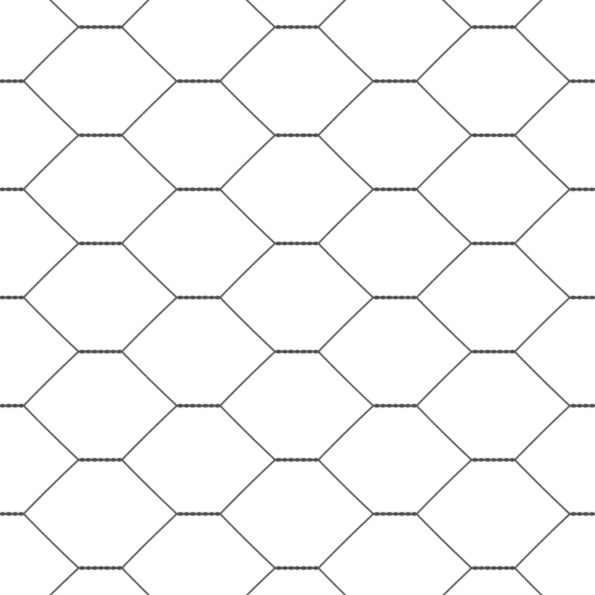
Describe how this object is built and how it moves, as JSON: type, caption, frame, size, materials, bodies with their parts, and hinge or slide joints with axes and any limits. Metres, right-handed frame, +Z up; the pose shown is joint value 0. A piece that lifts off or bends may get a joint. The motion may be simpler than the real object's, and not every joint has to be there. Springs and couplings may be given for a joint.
{
  "type": "hexagonal wire netting sheet",
  "caption": "Flat sheet of galvanised chicken wire: zigzag wires twisted in pairs into long hexagonal meshes, with a straight selvedge wire along both edges.",
  "frame": {"origin": "middle of the sheet, on the plane that it lies on", "axes": "+X along the twists and the length of the sheet, +Y across its width, +Z up out of the sheet"},
  "size_m": [0.4086, 0.3018, 0.0018],
  "materials": {
    "mesh_wire": "dull weathered zinc",
    "selvedge_wire": "dull weathered zinc"
  },
  "bodies": {
    "root": {"mesh_wire_01": "mesh_wire", "mesh_wire_02": "mesh_wire", "mesh_wire_03": "mesh_wire", "mesh_wire_04": "mesh_wire", "mesh_wire_05": "mesh_wire", "mesh_wire_06": "mesh_wire", "mesh_wire_07": "mesh_wire", "mesh_wire_08": "mesh_wire", "mesh_wire_09": "mesh_wire", "mesh_wire_10": "mesh_wire", "mesh_wire_11": "mesh_wire", "mesh_wire_12": "mesh_wire", "selvedge_wire_near": "selvedge_wire", "selvedge_wire_far": "selvedge_wire"}
  },
  "joints": []
}
